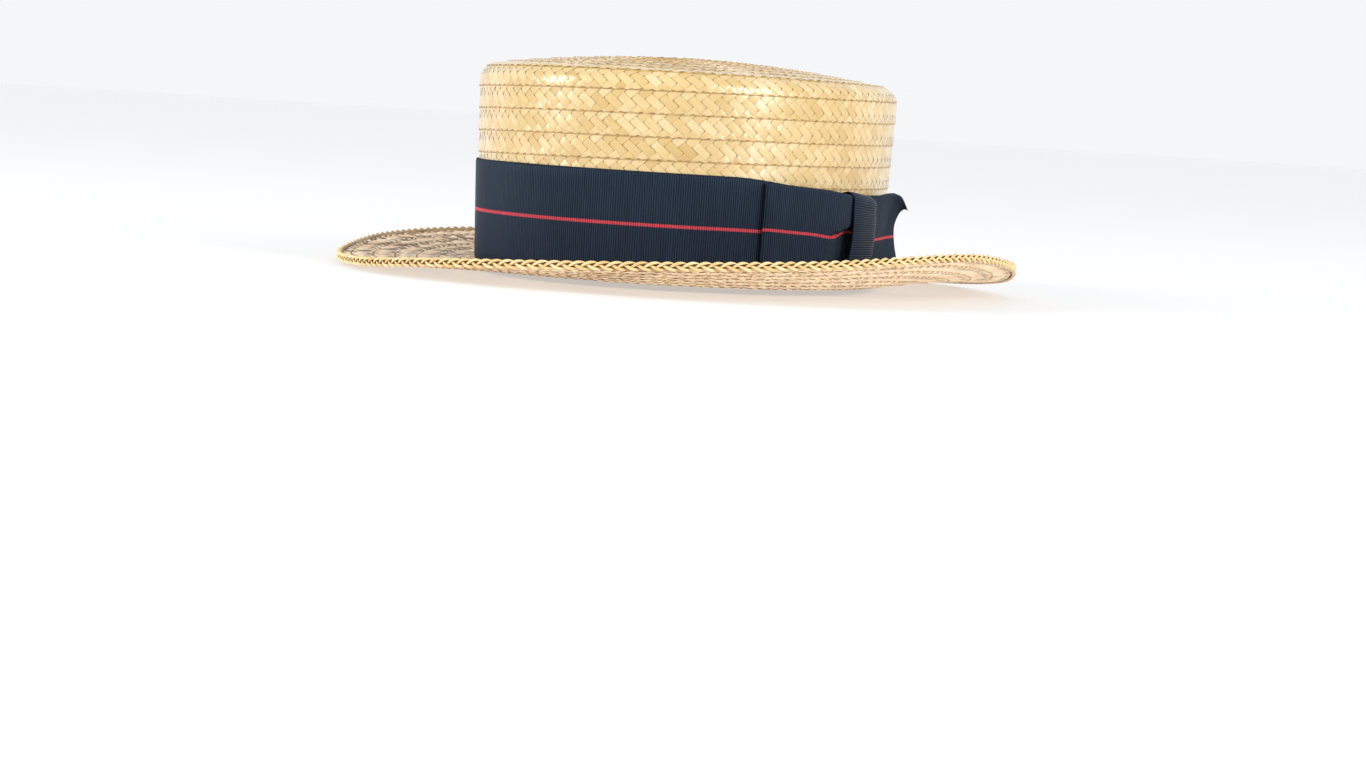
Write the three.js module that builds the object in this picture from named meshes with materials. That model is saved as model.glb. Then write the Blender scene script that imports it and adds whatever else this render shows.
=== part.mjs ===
// A straw boater hat: a stiff oval crown with a slightly domed tip, a gently warped flat brim with a
// braided edge, a wide ribbon band and a flat ribbon bow on the wearer's left.
// Millimetres, +Z up, front of the hat toward -Y, wearer's left toward +X, standing on z = 0.
import * as THREE from 'three';

// Crown. The oval is measured on the outside of the wall where it meets the brim.
const HALF_WIDTH = 84; // ear to ear
const HALF_LENGTH = 100; // brow to nape
const STRAW_WALL = 2;
const SIDE_HEIGHT = 76; // straight side, brim to the start of the tip's rounded corner
const FLARE = 3; // how much wider each side is at the top of the straight side
const CORNER_RADIUS = 8;
const TIP_RISE = 6.5; // how far the tip is domed above its corner

// Brim. It is stitched of two layers of plait, and its rim is lifted at the sides.
const OVERHANG = 57;
const BRIM_THICKNESS = 2.4;
const LIFT_EASE = 1.15; // above 1 the brim leaves the crown level and turns up toward its rim
const RIM_LIFT = [
  { azimuth: -180, lift: -1 },
  { azimuth: -150, lift: 3.5 },
  { azimuth: -118, lift: 7.5 },
  { azimuth: -88, lift: 5.4 },
  { azimuth: -62, lift: 0.4 },
  { azimuth: -36, lift: 0.2 },
  { azimuth: -12, lift: 4 },
  { azimuth: 14, lift: 7.6 },
  { azimuth: 48, lift: 12 },
  { azimuth: 80, lift: 16.4 },
  { azimuth: 103, lift: 11.6 },
  { azimuth: 126, lift: 3.6 },
  { azimuth: 152, lift: -1 },
];

// Braid round the rim.
const EDGE_WIDTH = 3.2;
const EDGE_HEIGHT = 3.8;

// Ribbon. The band and every piece of the bow are cut from it.
const RIBBON_WALL = 1;
const RIBBON_WIDTH = 42.4;
const BAND_DIP = 5.2; // how far the bow draws the band's top edge down
const BAND_DIP_AZIMUTH = 100;
const BAND_DIP_FLAT = 22; // degrees to each side where it is drawn down in full
const BAND_DIP_REACH = 60; // and where it is level again
const GAP = 0.3; // clearance between pieces that touch

// Bow, laid on the band. Distances along it are from where the knot ties it, backward positive,
// and distances out are from the band's face to the middle of the ribbon.
const BOW_AZIMUTH = 79.3;
const BOW_ARC_RADIUS = 101; // of the band where the bow lies
const KNOT_HALF_WIDTH = 9.5;
const KNOT_MIDDLE = 1.5; // along from where the loop and the tail are measured
const FRONT_LOOP = [
  { along: -7, stand: 3.1, top: 37, bottom: 4.2 },
  { along: -13, stand: 4.8, top: 38.4, bottom: 3.2 },
  { along: -23, stand: 4.4, top: 39.6, bottom: 2.2 },
  { along: -36, stand: 3.2, top: 40.4, bottom: 1.8 },
  { along: -51, stand: 2.2, top: 41.4, bottom: 1.6 },
];
const TAIL = [
  { along: 6, top: 36.4, bottom: 4.2, outTop: 3.2, outMiddle: 2.8, outBottom: 2.6 },
  { along: 12, top: 37.4, bottom: 3.4, outTop: 4.4, outMiddle: 3.4, outBottom: 3.2 },
  { along: 20, top: 38.6, bottom: 2.8, outTop: 4.2, outMiddle: 3, outBottom: 2.8 },
  { along: 28, top: 39, bottom: 2.6, outTop: 4.4, outMiddle: 2.6, outBottom: 3 },
  { along: 36, top: 38.8, bottom: 2.6, outTop: 6.4, outMiddle: 3.2, outBottom: 5.6 },
  { along: 42, top: 36.6, bottom: 2.8, outTop: 9.6, outMiddle: 4.2, outBottom: 9.6 },
];
const KNOT = [
  { out: 0.8, height: 39.2 },
  { out: 5.2, height: 38.6 },
  { out: 6.6, height: 34 },
  { out: 7.2, height: 22 },
  { out: 6.6, height: 8 },
  { out: 5.2, height: 2.9 },
  { out: 0.8, height: 2.4 },
];

const STEPS_ROUND = 96;
const UP = new THREE.Vector3(0, 0, 1);

const radians = THREE.MathUtils.degToRad;

// A smooth closed curve through the rim's lifts, read off by azimuth.
function liftCurve(rows) {
  const first = rows[0].azimuth;
  const at = (index) => {
    const turn = Math.floor(index / rows.length);
    const row = rows[index - turn * rows.length];
    return { azimuth: row.azimuth + 360 * turn, lift: row.lift };
  };
  return (azimuth) => {
    const wrapped = first + THREE.MathUtils.euclideanModulo(azimuth - first, 360);
    let index = 0;
    while (at(index + 1).azimuth <= wrapped) index += 1;
    const [before, start, end, after] = [at(index - 1), at(index), at(index + 1), at(index + 2)];
    const span = end.azimuth - start.azimuth;
    const share = (wrapped - start.azimuth) / span;
    const leaving = ((end.lift - before.lift) / (end.azimuth - before.azimuth)) * span;
    const arriving = ((after.lift - start.lift) / (after.azimuth - start.azimuth)) * span;
    const drop = start.lift - end.lift;
    const cubic = ((2 * drop + leaving + arriving) * share - 3 * drop - 2 * leaving - arriving) * share;
    return start.lift + (leaving + cubic) * share;
  };
}

const rimLift = liftCurve(RIM_LIFT);

// Height of the brim's top surface above the foot of the crown, at a distance out from the crown.
function brimTop(azimuth, out) {
  const share = THREE.MathUtils.clamp(out / OVERHANG, 0, 1.2);
  return rimLift(azimuth) * share ** LIFT_EASE;
}

// How much wider than its foot the crown is at a height.
const flareAt = (height) => (FLARE * Math.min(height, SIDE_HEIGHT)) / SIDE_HEIGHT;

// A point on the hat's oval, moved out from the crown's foot, or drawn in toward the middle by a share.
function onOval(azimuth, out, height, share = 1) {
  const angle = radians(azimuth);
  const x = (HALF_WIDTH + out) * share * Math.sin(angle);
  const y = -(HALF_LENGTH + out) * share * Math.cos(angle);
  return new THREE.Vector3(x, y, height);
}

const azimuths = Array.from({ length: STEPS_ROUND }, (_, step) => -180 + (360 * step) / STEPS_ROUND);
const ovalRing = (place) => azimuths.map((azimuth) => place(azimuth));

// The hat rests on the lowest part of its braided rim.
const edgeCentre = (azimuth) => rimLift(azimuth) - BRIM_THICKNESS / 2;
const SEAT = EDGE_HEIGHT / 2 - Math.min(...azimuths.map(edgeCentre));

// A closed body from points and triangles, turned so that its faces point out.
function body(points, faces) {
  const corner = new THREE.Vector3();
  let volume = 0;
  for (const [a, b, c] of faces) {
    volume += corner.crossVectors(points[a], points[b]).dot(points[c]);
  }
  const turned = volume < 0 ? faces.map(([a, b, c]) => [a, c, b]) : faces;
  const geometry = new THREE.BufferGeometry().setFromPoints(points);
  geometry.setIndex(turned.flat());
  geometry.computeVertexNormals();
  return geometry;
}

// A body of revolution on any outline: rings of points joined each to the next and the last to the
// first. A ring of one point is a pole.
function ringBody(rings) {
  const points = rings.flat();
  const starts = rings.map((_, index) => rings.slice(0, index).flat().length);
  const faces = [];
  rings.forEach((ring, index) => {
    const next = rings[(index + 1) % rings.length];
    const [from, to] = [starts[index], starts[(index + 1) % rings.length]];
    for (let step = 0; step < STEPS_ROUND; step += 1) {
      const following = (step + 1) % STEPS_ROUND;
      if (ring.length > 1) faces.push([from + step, from + following, to + (next.length > 1 ? step : 0)]);
      if (next.length > 1) faces.push([to + following, to + step, from + (ring.length > 1 ? following : 0)]);
    }
  });
  return body(points, faces.filter(([a, b, c]) => a !== b && b !== c && a !== c));
}

// A sheet with thickness: each row of middle points is doubled to both sides of the sheet.
function sheetBody(rows, sideOf) {
  const across = rows[0].length;
  const points = rows.flatMap((row, index) => {
    const front = row.map((point, place) => point.clone().add(sideOf(index, place)));
    const back = row.map((point, place) => point.clone().sub(sideOf(index, place)));
    return [...front, ...back.reverse()];
  });
  const loop = 2 * across;
  const faces = [];
  for (let row = 0; row + 1 < rows.length; row += 1) {
    for (let place = 0; place < loop; place += 1) {
      const [a, b] = [row * loop + place, row * loop + ((place + 1) % loop)];
      faces.push([a, b, b + loop], [a, b + loop, a + loop]);
    }
  }
  const last = (rows.length - 1) * loop;
  for (let place = 0; place + 1 < across; place += 1) {
    const opposite = loop - 1 - place;
    faces.push([place + 1, place, opposite], [place + 1, opposite, opposite - 1]);
    faces.push([last + place, last + place + 1, last + opposite]);
    faces.push([last + opposite, last + place + 1, last + opposite - 1]);
  }
  return body(points, faces);
}

function named(name, geometry, color, roughness) {
  const material = new THREE.MeshStandardMaterial({ color, roughness, metalness: 0 });
  const mesh = new THREE.Mesh(geometry, material);
  mesh.name = name;
  return mesh;
}

// Half the crown's section, from the foot to the middle of the tip, for the wall's outer or inner face.
function crownSection(inset) {
  const radius = CORNER_RADIUS - inset;
  const section = [0, 0.5, 1].map((share) => {
    const height = SIDE_HEIGHT * share;
    return { out: flareAt(height) - inset, height };
  });
  const cornerOut = FLARE - CORNER_RADIUS;
  for (const turn of [30, 60, 90]) {
    section.push({
      out: cornerOut + radius * Math.cos(radians(turn)),
      height: SIDE_HEIGHT + radius * Math.sin(radians(turn)),
    });
  }
  return section.map((row) => ({ ...row, share: 1 }));
}

function crownWall(inset) {
  const section = crownSection(inset);
  const corner = section.at(-1);
  for (const share of [0.8, 0.55, 0.28]) {
    section.push({ out: corner.out, height: corner.height + TIP_RISE * (1 - share ** 2), share });
  }
  const ringAt = ({ out, height, share }) => ovalRing((azimuth) => onOval(azimuth, out, height, share));
  const rings = section.map(ringAt);
  return [...rings, [new THREE.Vector3(0, 0, corner.height + TIP_RISE)]];
}

function makeCrown() {
  const rings = [...crownWall(0), ...crownWall(STRAW_WALL).reverse()];
  return named('crown', ringBody(rings), 0xeccf96, 0.45);
}

// The brim's inner edge is flush with the inside of the crown, which stands on it.
function makeBrim() {
  const outs = [-STRAW_WALL, GAP + 2 * RIBBON_WALL, 15, 30, 45, OVERHANG];
  const heightAt = (azimuth, out, below) => brimTop(azimuth, out) - GAP - below;
  const surface = (out, below) => ovalRing((azimuth) => onOval(azimuth, out, heightAt(azimuth, out, below)));
  const top = outs.map((out) => surface(out, 0));
  const under = outs.map((out) => surface(out, BRIM_THICKNESS)).reverse();
  return named('brim', ringBody([...top, ...under]), 0xd3b083, 0.6);
}

function makeEdgeBraid() {
  const centreOut = OVERHANG + GAP + EDGE_WIDTH / 2;
  const rings = Array.from({ length: 8 }, (_, index) => {
    const turn = radians(45 * index + 22.5);
    const out = centreOut + (EDGE_WIDTH / 2) * Math.cos(turn) / Math.cos(radians(22.5));
    const rise = (EDGE_HEIGHT / 2) * Math.sin(turn) / Math.sin(radians(67.5));
    return ovalRing((azimuth) => onOval(azimuth, out, edgeCentre(azimuth) + rise));
  });
  return named('brim_edge_braid', ringBody(rings), 0xc79a4f, 0.55);
}

// The bow draws the band's top edge down behind it.
function bandTop(azimuth) {
  const away = Math.abs(THREE.MathUtils.euclideanModulo(azimuth - BAND_DIP_AZIMUTH + 180, 360) - 180);
  const share = 1 - THREE.MathUtils.smoothstep(away, BAND_DIP_FLAT, BAND_DIP_REACH);
  return GAP + RIBBON_WIDTH - BAND_DIP * share;
}

function makeRibbonBand() {
  const ring = (out, heightAt) => ovalRing((azimuth) => {
    const height = heightAt(azimuth);
    return onOval(azimuth, out + flareAt(height), height);
  });
  const bandFoot = () => GAP;
  const outer = GAP + RIBBON_WALL;
  const rings = [ring(GAP, bandFoot), ring(GAP, bandTop), ring(outer, bandTop), ring(outer, bandFoot)];
  return named('ribbon_band', ringBody(rings), 0x28323f, 0.7);
}

// A place on the bow: along the band from the knot, out from the band's face, at a height.
function onBand(along, out, height) {
  const azimuth = BOW_AZIMUTH + THREE.MathUtils.radToDeg(along / BOW_ARC_RADIUS);
  return onOval(azimuth, GAP + RIBBON_WALL + out + flareAt(height), height);
}

// A ribbon that stands on edge: its thickness is level, and square to the way that it runs.
function uprightSheet(sheet) {
  return sheetBody(sheet, (index, place) => {
    const before = sheet[Math.max(index - 1, 0)][place];
    const after = sheet[Math.min(index + 1, sheet.length - 1)][place];
    const run = after.clone().sub(before).setZ(0).normalize();
    return run.cross(UP).multiplyScalar(RIBBON_WALL / 2);
  });
}

// The front loop is one length of ribbon: out along its front leaf, round the fold and back under it.
function makeFrontLoop() {
  const under = GAP + RIBBON_WALL / 2;
  const end = FRONT_LOOP.at(-1);
  const front = FRONT_LOOP.map((row) => ({ ...row, out: row.stand }));
  const fold = [-45, 0, 45].map((turn) => {
    const [middle, radius] = [(end.stand + under) / 2, (end.stand - under) / 2];
    const bulge = radius * Math.cos(radians(turn));
    return { ...end, along: end.along - bulge, out: middle - radius * Math.sin(radians(turn)) };
  });
  const back = FRONT_LOOP.map((row) => ({ ...row, out: under })).reverse();
  const path = [...front, ...fold, ...back];
  const across = [0, 0.25, 0.5, 0.75, 1];
  const place = ({ along, out, top, bottom }, share) => onBand(along, out, bottom + (top - bottom) * share);
  const sheet = path.map((row) => across.map((share) => place(row, share)));
  return named('bow_front_loop', uprightSheet(sheet), 0x263040, 0.7);
}

// The tail is a single leaf of ribbon whose cut end curls away from the crown, most at its top corner.
function makeTail() {
  const across = [0, 0.25, 0.5, 0.75, 1];
  const place = (row, share) => {
    const [low, high] = [1 - 2 * share, 2 * share - 1].map((part) => Math.max(part, 0) ** 2);
    const out = row.outMiddle + (row.outBottom - row.outMiddle) * low + (row.outTop - row.outMiddle) * high;
    return onBand(row.along, out, row.bottom + (row.top - row.bottom) * share);
  };
  const sheet = TAIL.map((row) => across.map((share) => place(row, share)));
  return named('bow_tail', uprightSheet(sheet), 0x263040, 0.7);
}

// The knot is a strap of ribbon that wraps the loop's and the tail's ends from top to bottom.
function makeKnot() {
  const across = [-1, -0.5, 0, 0.5, 1].map((share) => KNOT_MIDDLE + share * KNOT_HALF_WIDTH);
  const sheet = KNOT.map(({ out, height }) => across.map((along) => onBand(along, out, height)));
  const sideOf = (index, share) => {
    const before = sheet[Math.max(index - 1, 0)][share];
    const after = sheet[Math.min(index + 1, sheet.length - 1)][share];
    const sideways = sheet[index].at(-1).clone().sub(sheet[index][0]);
    return after.clone().sub(before).cross(sideways).normalize().multiplyScalar(RIBBON_WALL / 2);
  };
  return named('bow_knot', sheetBody(sheet, sideOf), 0x222b38, 0.7);
}

const hat = new THREE.Group();
hat.position.z = SEAT;
hat.add(makeCrown());
hat.add(makeBrim());
hat.add(makeEdgeBraid());
hat.add(makeRibbonBand());
hat.add(makeFrontLoop());
hat.add(makeTail());
hat.add(makeKnot());

export default hat;
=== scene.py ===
import math

import bmesh
import bpy
import numpy as np
from mathutils import Matrix, Vector


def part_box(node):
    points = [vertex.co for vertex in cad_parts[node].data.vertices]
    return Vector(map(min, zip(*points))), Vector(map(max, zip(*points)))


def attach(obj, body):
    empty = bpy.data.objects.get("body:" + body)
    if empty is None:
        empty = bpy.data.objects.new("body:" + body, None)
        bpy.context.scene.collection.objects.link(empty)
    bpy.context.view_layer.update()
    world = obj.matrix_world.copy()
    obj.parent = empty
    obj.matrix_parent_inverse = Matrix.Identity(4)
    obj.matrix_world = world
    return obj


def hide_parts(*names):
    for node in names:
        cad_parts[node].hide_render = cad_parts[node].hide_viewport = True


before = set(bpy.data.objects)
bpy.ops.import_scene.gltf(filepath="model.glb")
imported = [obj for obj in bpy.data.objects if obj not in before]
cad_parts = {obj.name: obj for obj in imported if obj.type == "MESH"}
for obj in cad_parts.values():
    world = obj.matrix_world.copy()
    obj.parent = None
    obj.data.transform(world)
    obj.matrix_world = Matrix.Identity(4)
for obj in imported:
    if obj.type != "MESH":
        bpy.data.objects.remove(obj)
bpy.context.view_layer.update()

scene = bpy.context.scene
mm = 0.001


# the hat's own shape, in metres, as the frame has it
crownLow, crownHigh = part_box("crown")
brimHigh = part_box("brim")[1]
bandLow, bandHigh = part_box("ribbon_band")
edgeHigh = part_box("brim_edge_braid")[1]

hat = {
    "flare": 3 * mm,
    "sideHeight": 76 * mm,
    "cornerRadius": 8 * mm,
    "tipRise": 6.5 * mm,
    "wall": 2 * mm,
    "liftEase": 1.15,
    "brimThickness": 2.4 * mm,
    "gap": 0.3 * mm,
}
hat["foot"] = crownLow[2]
hat["halfWidth"] = crownHigh[0] - hat["flare"]
hat["halfLength"] = crownHigh[1] - hat["flare"]
hat["overhang"] = brimHigh[0] - hat["halfWidth"]


def rowsOf(names, rows):
    return [dict(zip(names, row)) for row in rows]


# how far the rim stands above the crown's foot, by degrees from the brow toward the wearer's left
rimLift = rowsOf(("azimuth", "lift"), [
    (-180, -1 * mm),
    (-150, 3.5 * mm),
    (-118, 7.5 * mm),
    (-88, 5.4 * mm),
    (-62, 0.4 * mm),
    (-36, 0.2 * mm),
    (-12, 4 * mm),
    (14, 7.6 * mm),
    (48, 12 * mm),
    (80, 16.4 * mm),
    (103, 11.6 * mm),
    (126, 3.6 * mm),
    (152, -1 * mm),
])


def eased(start, end, leaving, arriving, share):
    drop = start - end
    cubic = ((2 * drop + leaving + arriving) * share - 3 * drop - 2 * leaving - arriving) * share
    return start + (leaving + cubic) * share


def smoothLoop(places, values, at, turn):
    # a smooth closed curve through the values, read at any place round the turn
    places = np.concatenate([places[-2:] - turn, places, places[:2] + turn])
    values = np.concatenate([values[-2:], values, values[:2]])
    slopes = (values[2:] - values[:-2]) / (places[2:] - places[:-2])
    inner = places[1:-1]
    at = inner[1] + np.mod(at - inner[1], turn)
    spot = np.clip(np.searchsorted(inner, at, side="right") - 1, 0, len(inner) - 2)
    span = inner[spot + 1] - inner[spot]
    share = (at - inner[spot]) / span
    return eased(values[spot + 1], values[spot + 2], slopes[spot] * span, slopes[spot + 1] * span, share)


liftPlaces = np.radians([row["azimuth"] for row in rimLift])
liftValues = np.array([row["lift"] for row in rimLift])


def brimTop(angle, out):
    share = np.clip(out / hat["overhang"], 0, 1.2)
    rim = smoothLoop(liftPlaces, liftValues, angle, 2 * math.pi)
    return hat["foot"] + rim * share ** hat["liftEase"]


def onOval(angle, out, height):
    x = (hat["halfWidth"] + out) * np.sin(angle)
    y = -(hat["halfLength"] + out) * np.cos(angle)
    return np.stack([x, y, np.broadcast_to(height, np.shape(x))], axis=-1)


# the crown's section, measured up the wall from its foot, over the corner and in across the tip
cornerLength = hat["cornerRadius"] * math.pi / 2
cornerOut = hat["flare"] - hat["cornerRadius"]
crownLength = hat["sideHeight"] + cornerLength + hat["halfWidth"] + cornerOut


def crownPoint(angle, up, height):
    # height is measured square to the wall, outward
    side = hat["sideHeight"]
    turn = np.clip((up - side) / cornerLength, 0, 1) * math.pi / 2
    slope = np.where(up < side, hat["flare"] / side, 0)
    past = np.maximum(up - side - cornerLength, 0)
    radius = hat["cornerRadius"] + height
    onSide = np.minimum(up, side) * hat["flare"] / side
    out = np.where(turn > 0, cornerOut + radius * np.cos(turn), onSide + height) - past
    rise = np.where(turn > 0, side + radius * np.sin(turn), up - height * slope)
    points = onOval(angle, np.maximum(out, -hat["halfWidth"]), 0)
    across = points[..., 0] / (hat["halfWidth"] + cornerOut)
    along = points[..., 1] / (hat["halfLength"] + cornerOut)
    share = np.minimum(across ** 2 + along ** 2, 1)
    dome = np.where(past > 0, hat["tipRise"] * (1 - share), 0)
    points[..., 2] = hat["foot"] + rise + dome
    return points


def brimPoint(angle, out, height):
    points = onOval(angle, out, 0)
    points[..., 2] = brimTop(angle, out) + height - hat["gap"]
    return points


def addNode(tree, kind, inputs=None, **settings):
    node = tree.nodes.new(kind)
    for name, value in settings.items():
        setattr(node, name, value)
    for name, value in (inputs or {}).items():
        socket = node.inputs[name]
        if isinstance(value, bpy.types.NodeSocket):
            tree.links.new(value, socket)
        else:
            socket.default_value = value
    return node


def sums(tree, operation, first, second=0.0, third=None):
    values = {0: first, 1: second}
    if third is not None:
        values[2] = third
    return addNode(tree, "ShaderNodeMath", values, operation=operation).outputs[0]


def times(tree, first, second):
    return sums(tree, "MULTIPLY", first, second)


def vector(tree, x=0.0, y=0.0, z=0.0):
    return addNode(tree, "ShaderNodeCombineXYZ", {"X": x, "Y": y, "Z": z}).outputs[0]


def axes(tree, source=None):
    # the three parts of a vector, by default of each point's place
    if source is None:
        source = addNode(tree, "GeometryNodeInputPosition").outputs[0]
    return addNode(tree, "ShaderNodeSeparateXYZ", {0: source}).outputs


def noise(tree, source, scale, detail):
    values = {"Vector": source, "Scale": scale, "Detail": detail}
    return addNode(tree, "ShaderNodeTexNoise", values).outputs["Fac"]


def newMaterial(name):
    material = bpy.data.materials.new(name)
    material.use_nodes = True
    tree = material.node_tree
    tree.nodes.clear()
    surface = addNode(tree, "ShaderNodeBsdfPrincipled")
    output = addNode(tree, "ShaderNodeOutputMaterial")
    tree.links.new(surface.outputs[0], output.inputs["Surface"])
    return material, tree, surface


def colourRamp(tree, share, stops):
    ramp = addNode(tree, "ShaderNodeValToRGB", {0: share})
    ramp.color_ramp.elements[0].position = stops[0][0]
    ramp.color_ramp.elements[0].color = (*stops[0][1], 1)
    ramp.color_ramp.elements[1].position = stops[-1][0]
    ramp.color_ramp.elements[1].color = (*stops[-1][1], 1)
    for place, colour in stops[1:-1]:
        ramp.color_ramp.elements.new(place).color = (*colour, 1)
    return ramp.outputs[0]


def blended(tree, share, first, second, kind="MIX"):
    mix = addNode(tree, "ShaderNodeMix", data_type="RGBA", blend_type=kind)
    for socket, value in ((mix.inputs[0], share), (mix.inputs[6], first), (mix.inputs[7], second)):
        if isinstance(value, bpy.types.NodeSocket):
            tree.links.new(value, socket)
        elif socket == mix.inputs[0]:
            socket.default_value = value
        else:
            socket.default_value = (*value, 1)
    return mix.outputs[2]


# camera and studio
studio = {
    "azimuth": 25,
    "distance": 1250 * mm,
    "height": 63 * mm,
    "aimRight": 4.6 * mm,
    "aimDown": 113.3 * mm,
    "roll": 3.6,
    "halfView": 13.36,
    "floorRadius": 60,
    "skyStrength": 0.94,
    "floorGlow": 0.44,
    "floorTone": 0.44,
    "underPower": 0.4,
    "underSize": 0.7,
    "underHeight": 0.3 * mm,
    "boxPower": 33,
    "boxWidth": 0.4,
    "boxTall": 1.4,
    "boxDistance": 2.4,
    "boxHeight": 0.9,
    "boxAim": 0.05,
    "boxAzimuths": (-44, 78),
}


def makeCamera():
    turn = math.radians(studio["azimuth"])
    toward = Vector((math.sin(turn), -math.cos(turn), 0))
    right = Vector((math.cos(turn), math.sin(turn), 0))
    eye = toward * studio["distance"]
    eye.z = hat["foot"] + studio["height"]
    aim = right * studio["aimRight"]
    aim.z = eye.z - studio["aimDown"]
    data = bpy.data.cameras.new("camera")
    data.angle = math.radians(2 * studio["halfView"])
    data.clip_end = 100
    camera = bpy.data.objects.new("camera", data)
    facing = (aim - eye).to_track_quat("-Z", "Y").to_matrix().to_4x4()
    roll = Matrix.Rotation(math.radians(studio["roll"]), 4, "Z")
    camera.matrix_world = Matrix.Translation(eye) @ facing @ roll
    scene.collection.objects.link(camera)
    scene.camera = camera
    scene.view_settings.view_transform = "Standard"


def areaLight(name, shape, size, power, placing):
    data = bpy.data.lights.new(name, "AREA")
    data.shape = shape
    data.size = size
    data.energy = power
    light = bpy.data.objects.new(name, data)
    light.matrix_world = placing
    scene.collection.objects.link(light)
    return light


def makeStudio():
    # a pale floor with a faint glow of its own, under a sky of the same tone
    steps = 96
    turns = [2 * math.pi * step / steps for step in range(steps)]
    away = studio["floorRadius"]
    rim = [(away * math.cos(turn), away * math.sin(turn), 0) for turn in turns]
    mesh = bpy.data.meshes.new("studioFloor")
    mesh.from_pydata(rim, [], [tuple(range(steps))])
    floor = bpy.data.objects.new("studioFloor", mesh)
    material, tree, surface = newMaterial("paleFloor")
    surface.inputs["Base Color"].default_value = (*(studio["floorTone"],) * 3, 1)
    surface.inputs["Roughness"].default_value = 0.9
    surface.inputs["Emission Color"].default_value = (0.985, 0.99, 1, 1)
    surface.inputs["Emission Strength"].default_value = studio["floorGlow"]
    mesh.materials.append(material)
    scene.collection.objects.link(floor)

    world = bpy.data.worlds.new("studioSky")
    world.use_nodes = True
    back = world.node_tree.nodes["Background"]
    back.inputs["Color"].default_value = (0.97, 0.985, 1, 1)
    back.inputs["Strength"].default_value = studio["skyStrength"]
    scene.world = world
    for azimuth in studio["boxAzimuths"]:
        turn = math.radians(azimuth)
        place = Vector((math.sin(turn), -math.cos(turn), 0)) * studio["boxDistance"]
        place.z = studio["boxHeight"]
        facing = (Vector((0, 0, studio["boxAim"])) - place).to_track_quat("-Z", "Y").to_matrix().to_4x4()
        placing = Matrix.Translation(place) @ facing
        box = areaLight("softBox", "RECTANGLE", studio["boxWidth"], studio["boxPower"], placing)
        box.data.size_y = studio["boxTall"]
    # a low panel that lights the brim from below
    placing = Matrix.Translation((0, 0, studio["underHeight"])) @ Matrix.Rotation(math.pi, 4, "X")
    panel = areaLight("floorPanel", "DISK", studio["underSize"], studio["underPower"], placing)
    panel.visible_camera = False


makeCamera()
makeStudio()
print("studio ready")


# straw finishes; the rim colour of each is painted shade, for the thin gaps between straws
crownStraw = {
    "tones": [
        (0.0, (0.53, 0.33, 0.10)), (0.35, (0.63, 0.44, 0.165)),
        (0.7, (0.70, 0.51, 0.23)), (1.0, (0.78, 0.62, 0.36))],
    "grain": (0.54, 0.35, 0.13),
    "rim": (0.28, 0.16, 0.04),
    "contrast": 0.6,
    "halfWidth": 1.775 * mm,
    "roughness": 0.34,
    "coat": 1.0,
    "grainBump": 0.12,
}
brimStraw = {
    "tones": [
        # random tone; its darkest end is painted shade, so that the straws taking it read as dark slits in
        # the weave
        (0.0, (0.12, 0.055, 0.022)), (0.16, (0.44, 0.27, 0.13)), (0.32, (0.72, 0.50, 0.29)),
        (0.7, (0.85, 0.62, 0.38)), (1.0, (0.92, 0.76, 0.54))],
    "grain": (0.54, 0.35, 0.18),
    "rim": (0.24, 0.12, 0.05),
    "contrast": 1.0,
    "halfWidth": 1.775 * mm,
    "roughness": 0.5,
    "coat": 0.12,
    "grainBump": 0.2,
}

underTones = [
    # random tone; its darkest end is painted shade, so that the straws taking it read as dark dashes in the
    # weave
    (0.0, (0.30, 0.16, 0.07)), (0.13, (0.60, 0.40, 0.20)), (0.35, (0.77, 0.55, 0.31)),
    (0.7, (0.84, 0.62, 0.37)), (1.0, (0.90, 0.72, 0.48))]


# what every straw has: fibres along it, slow patches of tone, and painted shade along its long edges
fibre = {
    "stretch": (160, 3400, 1000),
    "apart": 3.0,
    "streak": 0.5,
    "patchScale": 26.0,
    "drift": 0.7,
    "lineFrom": 0.34,
    "lineTo": 0.42,
    "lineShare": 0.5,
    "gapShadeFrom": 0.87,
    "gapShadeTo": 0.97,
    "gapShadeShare": 0.65,
    "roughSpread": 0.3,
    "coatRoughness": 0.25,
    "depth": 0.1 * mm,
}


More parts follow.
